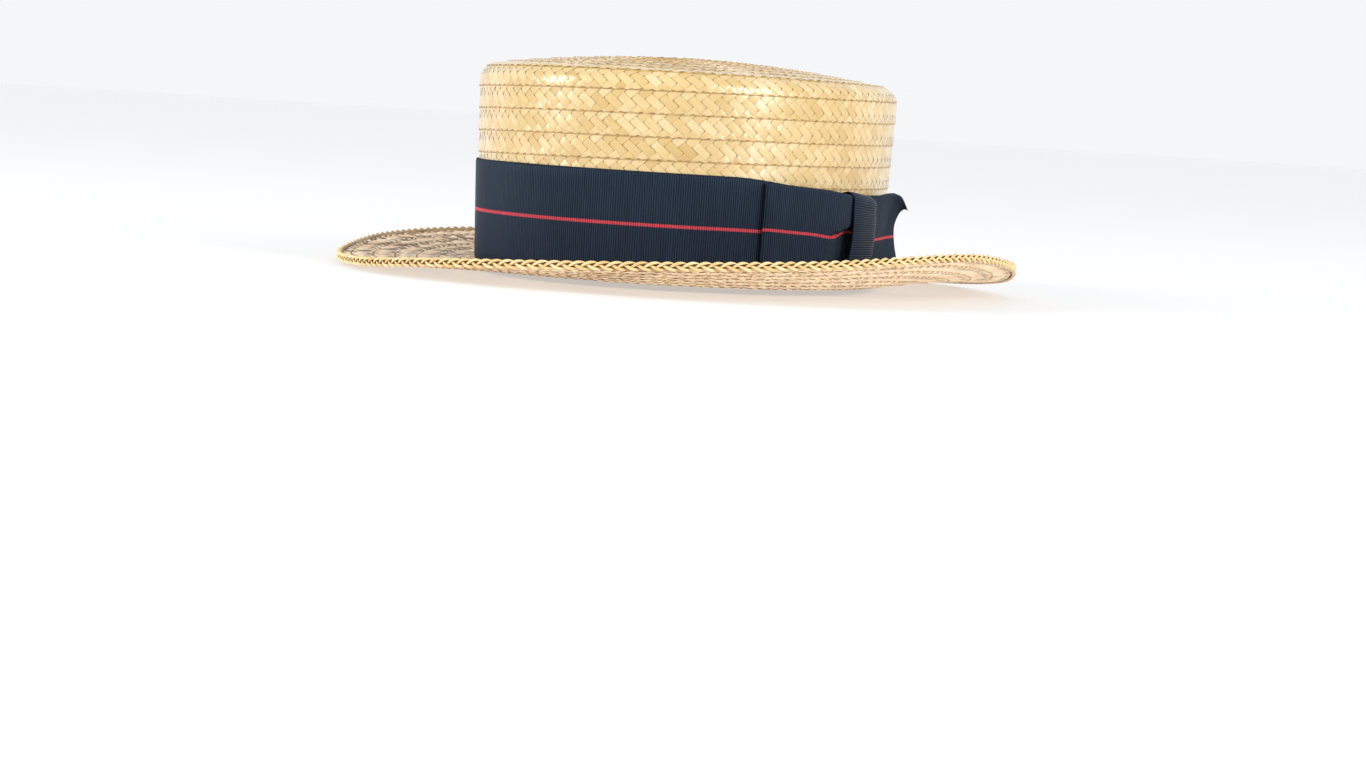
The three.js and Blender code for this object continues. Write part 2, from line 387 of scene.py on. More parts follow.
def strawMaterial(name, look):
    material, tree, surface = newMaterial(name)
    tone = addNode(tree, "ShaderNodeAttribute", attribute_name="tone").outputs["Fac"]
    straw = addNode(tree, "ShaderNodeAttribute", attribute_name="straw").outputs["Vector"]
    place = addNode(tree, "ShaderNodeTexCoord").outputs["Object"]
    # every straw reads the fibre noise somewhere else, stretched along its length
    apart = vector(tree, z=times(tree, tone, fibre["apart"]))
    shifted = addNode(tree, "ShaderNodeVectorMath", {0: straw, 1: apart}, operation="ADD")
    stretched = addNode(tree, "ShaderNodeMapping", {"Vector": shifted.outputs[0], "Scale": fibre["stretch"]})
    fibres = noise(tree, stretched.outputs[0], 1.0, 3.0)
    patches = noise(tree, place, fibre["patchScale"], 2.0)
    drift = sums(tree, "MULTIPLY_ADD", patches, fibre["drift"], -fibre["drift"] / 2)
    streak = sums(tree, "MULTIPLY_ADD", fibres, fibre["streak"], -fibre["streak"] / 2)
    own = sums(tree, "MULTIPLY_ADD", tone, look["contrast"], 0.5 - 0.5 * look["contrast"])
    varied = sums(tree, "ADD", sums(tree, "ADD", own, drift), streak)
    colour = colourRamp(tree, varied, look["tones"])
    lines = colourRamp(tree, fibres, [(fibre["lineFrom"], (1, 1, 1)), (fibre["lineTo"], (0, 0, 0))])
    colour = blended(tree, times(tree, lines, fibre["lineShare"]), colour, look["grain"])
    # painted shade: the long edges of each straw are darker, standing for the shade in the thin gaps between
    # straws
    side = sums(tree, "ABSOLUTE", axes(tree, straw)["Y"])
    rim = addNode(tree, "ShaderNodeMapRange", {
        "Value": sums(tree, "DIVIDE", side, look["halfWidth"]),
        "From Min": fibre["gapShadeFrom"], "From Max": fibre["gapShadeTo"]})
    colour = blended(tree, times(tree, rim.outputs[0], fibre["gapShadeShare"]), colour, look["rim"])
    tree.links.new(colour, surface.inputs["Base Color"])
    smoothest = look["roughness"] - fibre["roughSpread"] / 2
    rough = sums(tree, "MULTIPLY_ADD", fibres, fibre["roughSpread"], smoothest)
    tree.links.new(rough, surface.inputs["Roughness"])
    surface.inputs["Coat Weight"].default_value = look["coat"]
    surface.inputs["Coat Roughness"].default_value = fibre["coatRoughness"]
    bump = addNode(tree, "ShaderNodeBump", {"Height": fibres, "Distance": fibre["depth"]})
    bump.inputs["Strength"].default_value = look["grainBump"]
    tree.links.new(bump.outputs[0], surface.inputs["Normal"])
    return material


def threadAndShadeMaterial(name, dark, light):
    # a mottled dark finish: the stitches' own thread, and the painted shade of what lies under the straws,
    # seen only through the slits between them
    material, tree, surface = newMaterial(name)
    mottle = noise(tree, addNode(tree, "ShaderNodeTexCoord").outputs["Object"], 700.0, 2.0)
    tree.links.new(colourRamp(tree, mottle, [(0.3, dark), (0.7, light)]), surface.inputs["Base Color"])
    surface.inputs["Roughness"].default_value = 0.8
    return material


# one flat plait, laid straight along X with its lower edge on Y = 0
plait = {
    "period": 5.6 * mm,
    "rowPitch": 9.25 * mm,
    "lean": 40.0,
    "strawWidth": 3.55 * mm,
    "tuck": 0.5 * mm,
    "rise": 0.15 * mm,
    "cup": 0.05 * mm,
    "endDip": 6.0,
    "edgeStraw": 0.7,
    "askew": (0.022, 0.012, 0.02),
    "runOn": 1.8 * mm,
    "fold": 0.9 * mm,
    "lap": 0.34 * mm,
    "stitchPitch": 4.1 * mm,
    "stitchLength": 1.9 * mm,
    "stitchWidth": 0.26 * mm,
    "stitchUp": 0.55 * mm,
}


def newTree(name, lengths, counts):
    tree = bpy.data.node_groups.new(name, "GeometryNodeTree")
    for kind, labels in (("NodeSocketFloat", lengths), ("NodeSocketInt", counts)):
        for label in labels:
            tree.interface.new_socket(label, in_out="INPUT", socket_type=kind)
    tree.interface.new_socket("Geometry", in_out="OUTPUT", socket_type="NodeSocketGeometry")
    given = addNode(tree, "NodeGroupInput")
    return tree, {output.name: output for output in given.outputs if output.name}


def stored(tree, mesh, name, value, kind="FLOAT_VECTOR", domain="POINT"):
    values = {"Geometry": mesh, "Name": name, "Value": value}
    return addNode(tree, "GeometryNodeStoreNamedAttribute", values, data_type=kind, domain=domain).outputs[0]


def moved(tree, mesh, position):
    return addNode(tree, "GeometryNodeSetPosition", {"Geometry": mesh, "Position": position}).outputs[0]


def gathered(tree, parts):
    node = addNode(tree, "GeometryNodeJoinGeometry")
    for part in parts:
        tree.links.new(part, node.inputs[0])
    return node.outputs[0]


def evenLine(tree, count, start, step):
    values = {"Count": count, "Start Location": start, "Offset": step}
    return addNode(tree, "GeometryNodeMeshLine", values, mode="OFFSET").outputs[0]


def coloured(tree, mesh, look):
    return addNode(tree, "GeometryNodeSetMaterial", {"Geometry": mesh, "Material": look}).outputs[0]


def realized(tree, mesh):
    return addNode(tree, "GeometryNodeRealizeInstances", {"Geometry": mesh}).outputs[0]


def smoothed(tree, mesh):
    return addNode(tree, "GeometryNodeSetShadeSmooth", {"Geometry": mesh}).outputs[0]


def runTree(tree, name, values):
    # evaluates the tree once on an empty mesh and keeps the result as a plain mesh
    carrier = bpy.data.objects.new(name, bpy.data.meshes.new(name))
    scene.collection.objects.link(carrier)
    modifier = carrier.modifiers.new(name, "NODES")
    modifier.node_group = tree
    for item in tree.interface.items_tree:
        if item.in_out == "INPUT" and item.name in values:
            modifier[item.identifier] = values[item.name]
    carrier.update_tag()
    graph = bpy.context.evaluated_depsgraph_get()
    mesh = bpy.data.meshes.new_from_object(carrier.evaluated_get(graph), depsgraph=graph)
    bpy.data.objects.remove(carrier)
    mesh.name = name
    return mesh


def strawTile(tree, length, width, counts, slant, rise, cup):
    # one float of the plait: a straw bowed up along its length and a little across it
    grid = addNode(tree, "GeometryNodeMeshGrid", {
        "Size X": length, "Size Y": width, "Vertices X": counts[0], "Vertices Y": counts[1]})
    here = axes(tree)
    # the rows of points gather toward the ends, where the straw dips
    half = times(tree, length, 0.5)
    turned = sums(tree, "DIVIDE", times(tree, here["X"], math.pi), length)
    long = times(tree, sums(tree, "SINE", turned), half)
    kept = stored(tree, grid.outputs[0], "straw", vector(tree, long, here["Y"]))
    along = sums(tree, "DIVIDE", long, half)
    across = sums(tree, "DIVIDE", here["Y"], times(tree, width, 0.5))
    dip = sums(tree, "POWER", sums(tree, "ABSOLUTE", along), plait["endDip"])
    bow = times(tree, rise, sums(tree, "SUBTRACT", 1.0, dip))
    height = sums(tree, "SUBTRACT", bow, times(tree, cup, times(tree, across, across)))
    leaned = sums(tree, "MULTIPLY_ADD", here["Y"], slant, long)
    return smoothed(tree, moved(tree, kept, vector(tree, leaned, here["Y"], height)))


def tilesAlong(tree, given, tile, start, up, lean, salt):
    # a row of copies of one float, each a little askew and with a tone of its own
    line = evenLine(tree, given["repeats"], vector(tree, start, up), vector(tree, given["period"]))
    seed = sums(tree, "ADD", given["seed"], salt)
    tilt = addNode(tree, "FunctionNodeRandomValue", {
        "Min": tuple(-part for part in plait["askew"]), "Max": plait["askew"], "Seed": seed},
        data_type="FLOAT_VECTOR")
    turn = vector(tree, z=lean)
    whole = addNode(tree, "ShaderNodeVectorMath", {0: turn, 1: tilt.outputs[0]}, operation="ADD")
    copies = addNode(tree, "GeometryNodeInstanceOnPoints", {
        "Points": line, "Instance": tile, "Rotation": whole.outputs[0]})
    chance = addNode(tree, "FunctionNodeRandomValue", {"Seed": seed}, data_type="FLOAT")
    return stored(tree, copies.outputs[0], "tone", chance.outputs[1], "FLOAT", "INSTANCE")


plaitLengths = (
    "period", "rowPitch", "lean", "strawWidth", "tuck", "runOn", "rise", "cup", "fold",
    "stitchPitch", "stitchLength", "stitchWidth", "stitchUp")


def plaitTree(name, strawLook, stitchLook):
    tree, given = newTree(name, plaitLengths, ("repeats", "stepsAlong", "stepsAcross", "stitches", "seed"))
    period, pitch, lean, width = given["period"], given["rowPitch"], given["lean"], given["strawWidth"]
    cell = sums(tree, "DIVIDE", times(tree, period, 0.5), sums(tree, "COSINE", lean))
    slant = sums(tree, "DIVIDE", 1.0, sums(tree, "TANGENT", times(tree, lean, 2.0)))
    full = sums(tree, "MULTIPLY_ADD", cell, 2.0, given["tuck"])
    half = sums(tree, "ADD", cell, given["tuck"])
    back = times(tree, lean, -1.0)
    quarter = times(tree, period, 0.25)
    steps = (given["stepsAlong"], given["stepsAcross"])
    fewer = (sums(tree, "SUBTRACT", given["stepsAlong"], 1.0), given["stepsAcross"])
    swell = (given["rise"], given["cup"])
    falling = strawTile(tree, full, width, steps, times(tree, slant, -1.0), *swell)
    rising = strawTile(tree, half, width, fewer, slant, *swell)
    middle = tilesAlong(tree, given, falling, 0.0, times(tree, pitch, 0.5), back, 1)
    # the top floats run on under the row above
    longer = sums(tree, "ADD", half, given["runOn"])
    hidden = strawTile(tree, longer, width, fewer, slant, *swell)
    on = times(tree, given["runOn"], 0.5)
    onAlong = sums(tree, "MULTIPLY_ADD", on, sums(tree, "COSINE", lean), quarter)
    onUp = sums(tree, "MULTIPLY_ADD", on, sums(tree, "SINE", lean), times(tree, pitch, 0.875))
    upper = tilesAlong(tree, given, hidden, onAlong, onUp, lean, 2)
    lower = tilesAlong(tree, given, rising, times(tree, quarter, -1.0), times(tree, pitch, 0.125), lean, 3)
    thin = times(tree, width, plait["edgeStraw"])
    small = strawTile(tree, cell, thin, (3, 3), 0.0, given["cup"], given["cup"])
    turned = tilesAlong(tree, given, small, quarter, 0.0, back, 4)
    straws = realized(tree, gathered(tree, (middle, upper, lower, turned)))
    # the lowest straws fold back along the plait's edge, so what would pass it is drawn in close above it
    here = axes(tree)
    fold = given["fold"]
    room = sums(tree, "SUBTRACT", times(tree, fold, 2.0), sums(tree, "MINIMUM", here["Y"], fold))
    drawn = sums(tree, "DIVIDE", times(tree, fold, fold), room)
    past = sums(tree, "LESS_THAN", here["Y"], fold)
    above = times(tree, sums(tree, "SUBTRACT", 1.0, past), here["Y"])
    kept = sums(tree, "MULTIPLY_ADD", past, drawn, above)
    strawed = coloured(tree, moved(tree, straws, vector(tree, here["X"], kept, here["Z"])), strawLook)

    # stitches: small beads drawn out along the plait
    start = vector(tree, 0.0, given["stitchUp"], given["rise"])
    line = evenLine(tree, given["stitches"], start, vector(tree, given["stitchPitch"]))
    bead = addNode(tree, "GeometryNodeMeshUVSphere", {"Segments": 4, "Rings": 3, "Radius": 0.5})
    shape = vector(tree, given["stitchLength"], given["stitchWidth"], given["stitchWidth"])
    quarterTurn = (0.0, math.pi / 2, 0.0)
    laid = addNode(tree, "GeometryNodeTransform", {"Geometry": bead.outputs[0], "Rotation": quarterTurn})
    stitch = addNode(tree, "GeometryNodeTransform", {"Geometry": laid.outputs[0], "Scale": shape})
    copies = addNode(tree, "GeometryNodeInstanceOnPoints", {"Points": line, "Instance": stitch.outputs[0]})
    threaded = coloured(tree, realized(tree, copies.outputs[0]), stitchLook)
    addNode(tree, "NodeGroupOutput", {0: gathered(tree, (strawed, threaded))})
    return tree


def spiralRoute(midPoint, turns, start):
    # length along the middle of a wound row against the angle turned
    angle = start + np.linspace(0, 2 * math.pi * turns, int(turns * 720))
    points = midPoint(angle)
    steps = np.linalg.norm(np.diff(points, axis=0), axis=1)
    return np.concatenate([[0], np.cumsum(steps)]), angle


def pointsOf(mesh):
    flat = np.empty(len(mesh.vertices) * 3)
    mesh.vertices.foreach_get("co", flat)
    return flat.reshape(-1, 3)


def wrapMesh(mesh, place, flip):
    mesh.vertices.foreach_set("co", place(*pointsOf(mesh).T).ravel())
    if flip:
        mesh.flip_normals()
    mesh.update()


def gridMesh(name, points, material, closeRound=False, flip=False):
    # a sheet of quads from a table of points, rows by columns
    rows, columns = points.shape[:2]
    index = np.arange(rows * columns).reshape(rows, columns)
    if closeRound:
        index = np.concatenate([index, index[:, :1]], axis=1)
    quads = np.stack([index[:-1, :-1], index[:-1, 1:], index[1:, 1:], index[1:, :-1]], axis=-1).reshape(-1, 4)
    if flip:
        quads = quads[:, ::-1]
    mesh = bpy.data.meshes.new(name)
    mesh.from_pydata(points.reshape(-1, 3).tolist(), [], quads.tolist())
    mesh.materials.append(material)
    mesh.shade_smooth()
    mesh.update()
    return mesh


def welded(mesh):
    # zips shut the seams where points lie on each other
    shape = bmesh.new()
    shape.from_mesh(mesh)
    bmesh.ops.remove_doubles(shape, verts=shape.verts, dist=0.01 * mm)
    bmesh.ops.recalc_face_normals(shape, faces=shape.faces)
    shape.to_mesh(mesh)
    shape.free()


def joined(name, meshes, node):
    # one piece out of several meshes, standing for a node of the frame
    parts = []
    for mesh in meshes:
        part = bpy.data.objects.new(name, mesh)
        scene.collection.objects.link(part)
        parts.append(part)
    with bpy.context.temp_override(active_object=parts[0], selected_editable_objects=parts):
        bpy.ops.object.join()
    piece = parts[0]
    piece.name = name
    piece.data.name = name
    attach(piece, "root")
    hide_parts(node)
    triangles = sum(len(face.vertices) - 2 for face in piece.data.polygons)
    print(name, "ready,", triangles, "triangles")
    return piece


def plaitMesh(tree, weave, name, length, stepsAlong, stepsAcross, seed, stitched=True):
    values = {label: weave[label] for label in plaitLengths}
    values["lean"] = math.radians(weave["lean"])
    values["repeats"] = int(length / weave["period"])
    values["stitches"] = int(length / weave["stitchPitch"]) if stitched else 0
    return runTree(tree, name, {**values, "stepsAlong": stepsAlong, "stepsAcross": stepsAcross, "seed": seed})


def lapHeight(weave, up):
    # each row stands proud at its lower edge, where it laps over the row below
    return weave["lap"] * (1 - np.clip(up / weave["rowPitch"], 0, 1.2))


def rowGround(weave, length, count, strawLook, shadeLook):
    # what backs a flat row: a ground of painted shade under its straws, and straw along the edge where it
    # laps over
    along = np.linspace(0, length, count)[None, :]
    parts = []
    for up, height, look in (
            ([0, 0.55, 1.08], [0, 0, 0], shadeLook),
            ([0, 0], [-weave["lap"], 0.1 * mm], strawLook)):
        up = np.array(up)[:, None] * weave["rowPitch"]
        height = np.array(height)[:, None] - 0.04 * mm
        points = np.stack([np.broadcast_to(part, (len(up), count)) for part in (along, up, height)], axis=-1)
        parts.append(gridMesh("rowGround", points, look))
    return parts


# crown: rows wound in one spiral up the side, over the corner and in across the tip
crownRows = {
    "firstRow": 23.55 * mm,
    "startAngle": -math.pi,
    "innerFirstRow": 1.0 * mm,
    "depthOut": -0.32 * mm,
    "depthIn": -1.7 * mm,
    "spareTurns": 0.4,
    "groundInset": 0.08 * mm,
    "stepsRound": 120,
}


def makeCrown(strawLook, stitchLook, shadeLook):
    tree = plaitTree("crownPlait", strawLook, stitchLook)
    pitch = plait["rowPitch"]
    meshes = []
    for first, inside in ((crownRows["firstRow"], False), (crownRows["innerFirstRow"], True)):
        turns = (crownLength - first) / pitch - crownRows["spareTurns"]
        start = crownRows["startAngle"]
        depth = crownRows["depthIn"] if inside else crownRows["depthOut"]
        outward = -1 if inside else 1

        def reachAt(angle, up):
            return np.minimum(first + pitch * (angle - start) / (2 * math.pi) + up, crownLength)

        def place(along, up, height):
            angle = np.interp(along, route, angles)
            return crownPoint(angle, reachAt(angle, up), depth + outward * (height + lapHeight(plait, up)))

        def midPoint(angle):
            return crownPoint(angle, reachAt(angle, pitch / 2), depth)

        route, angles = spiralRoute(midPoint, turns, start)
        steps = (4, 2) if inside else (6, 4)
        length, count = route[-1], int(turns * crownRows["stepsRound"])
        woven = plaitMesh(tree, plait, "crownWeave", length, *steps, seed=7 + inside, stitched=not inside)
        parts = [woven] + rowGround(plait, length, count, strawLook, shadeLook)
        for part in parts:
            wrapMesh(part, place, inside)
        meshes += parts
    angle = np.linspace(-math.pi, math.pi, crownRows["stepsRound"], endpoint=False)[None, :]
    section = np.concatenate([
        np.linspace(0, hat["sideHeight"], 5), hat["sideHeight"] + cornerLength * np.linspace(0.2, 1, 5),
        np.linspace(hat["sideHeight"] + cornerLength, crownLength, 7)[1:]])
    rows = np.concatenate([section[::-1], section])[:, None]
    inset = crownRows["groundInset"]
    depths = np.repeat([crownRows["depthIn"] + inset, crownRows["depthOut"] - inset], len(section))[:, None]
    skin = crownPoint(*np.broadcast_arrays(angle, rows, depths))
    # a shell of painted shade under the plait, seen through the slits between straws
    shell = gridMesh("crownShell", skin, shadeLook, closeRound=True)
    welded(shell)
    meshes.append(shell)
    return joined("wovenCrown", meshes, "crown")


# brim: a rougher plait wound flat, woven side out above and below
brimAbove = {**plait, "rise": 0.32 * mm, "cup": 0.16 * mm, "strawWidth": 2.95 * mm, "lap": 0.3 * mm}
brimBelow = {**plait, "rise": 0.17 * mm, "cup": 0.05 * mm, "strawWidth": 3.5 * mm, "lap": 0.2 * mm}
brimRows = {
    "startAngle": -math.pi,
    "rowsOutside": 1.0,
    "spareTurns": 0.6,
    "ground": 1.1 * mm,
    "stepsRound": 192,
}


def trimmed(mesh, keep):
    # drops the faces that lie wholly outside what is kept
    corners = np.empty(len(mesh.loops), dtype=int)
    mesh.loops.foreach_get("vertex_index", corners)
    totals = np.empty(len(mesh.polygons), dtype=int)
    mesh.polygons.foreach_get("loop_total", totals)
    lost = np.add.reduceat(keep[corners], np.concatenate([[0], np.cumsum(totals)[:-1]])) == 0
    shape = bmesh.new()
    shape.from_mesh(mesh)
    shape.faces.ensure_lookup_table()
    bmesh.ops.delete(shape, geom=[shape.faces[spot] for spot in np.flatnonzero(lost)], context="FACES")
    shape.to_mesh(mesh)
    shape.free()


def makeBrim(strawLooks, stitchLook, shadeLooks):
    pitch = plait["rowPitch"]
    start = brimRows["startAngle"]
    outermost = hat["overhang"] + pitch * brimRows["rowsOutside"]
    turns = (outermost + hat["wall"]) / pitch + brimRows["spareTurns"]
    middle = -hat["brimThickness"] / 2
    meshes = []
    for side, weave, strawLook, shadeLook in zip((1, -1), (brimAbove, brimBelow), strawLooks, shadeLooks):
        tree = plaitTree("brimPlait", strawLook, stitchLook)
        face = middle + side * brimRows["ground"] / 2

        def outAt(angle, up):
            return outermost - pitch * (angle - start) / (2 * math.pi) - up

        def place(along, up, height):
            angle = np.interp(along, route, angles)
            out = np.clip(outAt(angle, up), -hat["wall"], hat["overhang"])
            return brimPoint(angle, out, face + side * (height + lapHeight(weave, up)))

        route, angles = spiralRoute(lambda angle: onOval(angle, outAt(angle, pitch / 2), 0), turns, start)
        woven = plaitMesh(tree, weave, "brimWeave", route[-1], 5, 3, seed=21 + side)
        count = int(turns * brimRows["stepsRound"])
        # above the brim the lapping edges take the painted shade too, so they read as dark slits
        riserLook = shadeLook if side > 0 else strawLook
        for part in [woven] + rowGround(weave, route[-1], count, riserLook, shadeLook):
            along, up = pointsOf(part).T[:2]
            out = outAt(np.interp(along, route, angles), up)
            wrapMesh(part, place, side < 0)
            trimmed(part, (out < hat["overhang"]) & (out > -hat["wall"]))
            meshes.append(part)
    angle = np.linspace(-math.pi, math.pi, brimRows["stepsRound"], endpoint=False)[None, :]
    outs = np.concatenate([[-hat["wall"]], np.linspace(1.5 * mm, hat["overhang"], 9)])
    section = np.concatenate([outs, outs[::-1]])[:, None]
    faces = np.repeat([middle + brimRows["ground"] / 2, middle - brimRows["ground"] / 2], len(outs))[:, None]
    shell = brimPoint(*np.broadcast_arrays(angle, section, faces))
    shell = np.concatenate([shell, shell[:1]])
    meshes.append(gridMesh("brimGround", shell, strawLooks[1], closeRound=True, flip=True))
    return joined("wovenBrim", meshes, "brim")


# edge braid: three straws plaited into a chain that stands round the rim
chain = {
    "strands": 3,
    "spacing": 4.83 * mm,
    "height": 2.7 * mm,
    "depth": 0.5 * mm,
    "strawWidth": 1.15 * mm,
    "strawThickness": 0.8 * mm,
    "stepsPerLoop": 7,
    "roundSteps": 8,
    "coreStepsRound": 192,
    "coreSteps": 8,
}
chainLengths = ("height", "depth", "strawWidth", "strawThickness")
# what shows through the chain: painted shade in its gaps, the brim's own straw behind and below
chainCores = [
    {"up": 0.6 * mm, "radius": 0.55 * mm, "back": 0.2 * mm},
    {"up": -0.6 * mm, "radius": 0.42 * mm, "back": 0.25 * mm},
    {"up": 0.45 * mm, "radius": 0.8 * mm, "back": 0.7 * mm},
    {"up": -1.15 * mm, "radius": 0.62 * mm, "back": 0.35 * mm},
]


def chainTree(name, look):
    tree, given = newTree(name, ("length", "waves", *chainLengths), ("steps", "roundSteps"))
    values = {"Resolution": given["roundSteps"], "Radius": 0.5}
    ring = addNode(tree, "GeometryNodeCurvePrimitiveCircle", values)
    flatten = vector(tree, given["strawWidth"], given["strawThickness"], 1.0)
    section = addNode(tree, "GeometryNodeTransform", {"Geometry": ring.outputs[0], "Scale": flatten})
    marked = stored(tree, section.outputs[0], "strawSide", axes(tree)["X"], "FLOAT")
    line = addNode(tree, "GeometryNodeCurvePrimitiveLine", {"End": vector(tree, given["length"])})
    stepped = addNode(tree, "GeometryNodeResampleCurve", {"Curve": line.outputs[0], "Count": given["steps"]})
    straws = []
    for strand in range(chain["strands"]):
        along = axes(tree)["X"]
        waves = times(tree, sums(tree, "DIVIDE", along, given["length"]), given["waves"])
        phase = sums(tree, "MULTIPLY_ADD", waves, 2 * math.pi, strand * 2 * math.pi / chain["strands"])
        lift = times(tree, sums(tree, "SINE", phase), times(tree, given["height"], 0.5))
        weave = times(tree, sums(tree, "SINE", times(tree, phase, 2.0)), given["depth"])
        named = stored(tree, stepped.outputs[0], "strawLong", along, "FLOAT")
        waved = moved(tree, named, vector(tree, along, lift, weave))
        level = addNode(tree, "GeometryNodeSetCurveNormal", {"Curve": waved}, mode="Z_UP")
        solid = addNode(tree, "GeometryNodeCurveToMesh", {"Curve": level.outputs[0], "Profile Curve": marked})
        straws.append(stored(tree, solid.outputs[0], "tone", 0.25 + 0.25 * strand, "FLOAT"))
    long, wide = [
        addNode(tree, "GeometryNodeInputNamedAttribute", {"Name": mark}, data_type="FLOAT").outputs[0]
        for mark in ("strawLong", "strawSide")]
    kept = stored(tree, gathered(tree, straws), "straw", vector(tree, long, wide))
    done = coloured(tree, realized(tree, smoothed(tree, kept)), look)
    addNode(tree, "NodeGroupOutput", {0: done})
    return tree


def makeEdge(strawLook, coreLooks):
    centreOut = (edgeHigh[0] + brimHigh[0]) / 2 - hat["halfWidth"]
    middle = -hat["brimThickness"] / 2 + hat["gap"]

    def place(along, up, height):
        angle = np.interp(np.mod(along, route[-1]), route, angles)
        return brimPoint(angle, centreOut + height, middle + up)

    route, angles = spiralRoute(lambda angle: onOval(angle, centreOut, 0), 1, -math.pi)
    waves = round(route[-1] / chain["spacing"] / chain["strands"])
    tree = chainTree("edgeChain", strawLook)
    steps = waves * chain["strands"] * chain["stepsPerLoop"] + 1
    sizes = {label: chain[label] for label in chainLengths}
    woven = runTree(tree, "edgeChain", {
        **sizes, "length": route[-1], "waves": float(waves), "steps": steps,
        "roundSteps": chain["roundSteps"]})
    # the last ring of each straw is laid over its first, so that the loop closes
    points = pointsOf(woven)
    marks = np.empty(points.size)
    woven.attributes["straw"].data.foreach_get("vector", marks)
    long = marks[0::3]
    points[long > route[-1] - 0.1 * mm] = points[long < 0.1 * mm] + (route[-1], 0, 0)
    woven.vertices.foreach_set("co", points.ravel())
    wrapMesh(woven, place, False)
    welded(woven)
    meshes = [woven]
    angle = np.linspace(-math.pi, math.pi, chain["coreStepsRound"], endpoint=False)[None, :]
    turn = np.linspace(0, 2 * math.pi, chain["coreSteps"] + 1)[:, None]
    for core, look in zip(chainCores, coreLooks):
        wide = centreOut - core["back"] + core["radius"] * np.cos(turn)
        high = middle + core["up"] + core["radius"] * np.sin(turn)
        points = brimPoint(*np.broadcast_arrays(angle, wide, high))
        meshes.append(gridMesh("edgeCore", points, look, closeRound=True))
    return joined("edgeBraid", meshes, "brim_edge_braid")


# ribbon: ribbed silk with one thin stripe down its middle
ribbon = {
    "width": bandHigh[2] - bandLow[2],
    "wall": 0.8 * mm,
    "ribPitch": 0.95 * mm,
    "stepsPerRib": 4,
    "ribHeight": 0.3 * mm,
    "scallop": 0.1 * mm,
    "stripeWidth": 1.3 * mm,
    "threadPitch": 0.32 * mm,
    "navy": (0.017, 0.026, 0.043),
    # the groove colours are painted shade, for the grooves between the ribs
    "grooveShade": (0.0008, 0.0013, 0.0025),
    "stripe": (0.66, 0.06, 0.07),
    "stripeGrooveShade": (0.26, 0.02, 0.025),
    "gloss": (0.4, 0.62, 1.0),
    "grooveRough": 0.75,
    "ribRough": 0.34,
    "stripeBlur": 0.08 * mm,
}
ribbonLengths = ("wall", "ribHeight", "scallop")


def ribbonMaterial(name, striped):
    material, tree, surface = newMaterial(name)
    flat = addNode(tree, "ShaderNodeAttribute", attribute_name="ribbon").outputs["Vector"]
    place = addNode(tree, "ShaderNodeTexCoord").outputs["Object"]
    parts = axes(tree, flat)
    threads = sums(tree, "SINE", times(tree, parts["Y"], 2 * math.pi / ribbon["threadPitch"]))
    stretched = addNode(tree, "ShaderNodeMapping", {"Vector": flat, "Scale": (900, 60, 1)})
    uneven = noise(tree, stretched.outputs[0], 1.0, 3.0)
    patches = noise(tree, place, 55.0, 2.0)
    # painted shade with random unevenness: the colour darkens from the rib crests into the grooves, and noise
    # varies it at random
    crest = sums(tree, "MULTIPLY_ADD", uneven, 0.7, sums(tree, "SUBTRACT", parts["Z"], 0.45))
    crest = sums(tree, "MULTIPLY_ADD", threads, 0.1, crest)
    ribShaded = colourRamp(tree, crest, [(0.4, ribbon["grooveShade"]), (0.95, ribbon["navy"])])
    worn = tuple(1.2 * part for part in ribbon["navy"])
    colour = blended(tree, times(tree, patches, 0.2), ribShaded, worn)
    if striped:
        away = sums(tree, "ABSOLUTE", sums(tree, "SUBTRACT", parts["Y"], ribbon["width"] / 2))
        half, blur = ribbon["stripeWidth"] / 2, ribbon["stripeBlur"]
        values = {"Value": away, "From Min": half + blur, "From Max": half - blur}
        inside = addNode(tree, "ShaderNodeMapRange", values)
        dots = colourRamp(tree, crest, [(0.2, ribbon["stripeGrooveShade"]), (0.8, ribbon["stripe"])])
        colour = blended(tree, inside.outputs[0], colour, dots)
    tree.links.new(colour, surface.inputs["Base Color"])
    rough = addNode(tree, "ShaderNodeMapRange", {
        "Value": parts["Z"], "To Min": ribbon["grooveRough"], "To Max": ribbon["ribRough"]})
    tree.links.new(rough.outputs[0], surface.inputs["Roughness"])
    surface.inputs["Specular IOR Level"].default_value = 0.36
    surface.inputs["Specular Tint"].default_value = (*ribbon["gloss"], 1)
    bump = addNode(tree, "ShaderNodeBump", {"Height": threads, "Distance": 0.03 * mm})
    bump.inputs["Strength"].default_value = 0.3
    tree.links.new(bump.outputs[0], surface.inputs["Normal"])
    return material


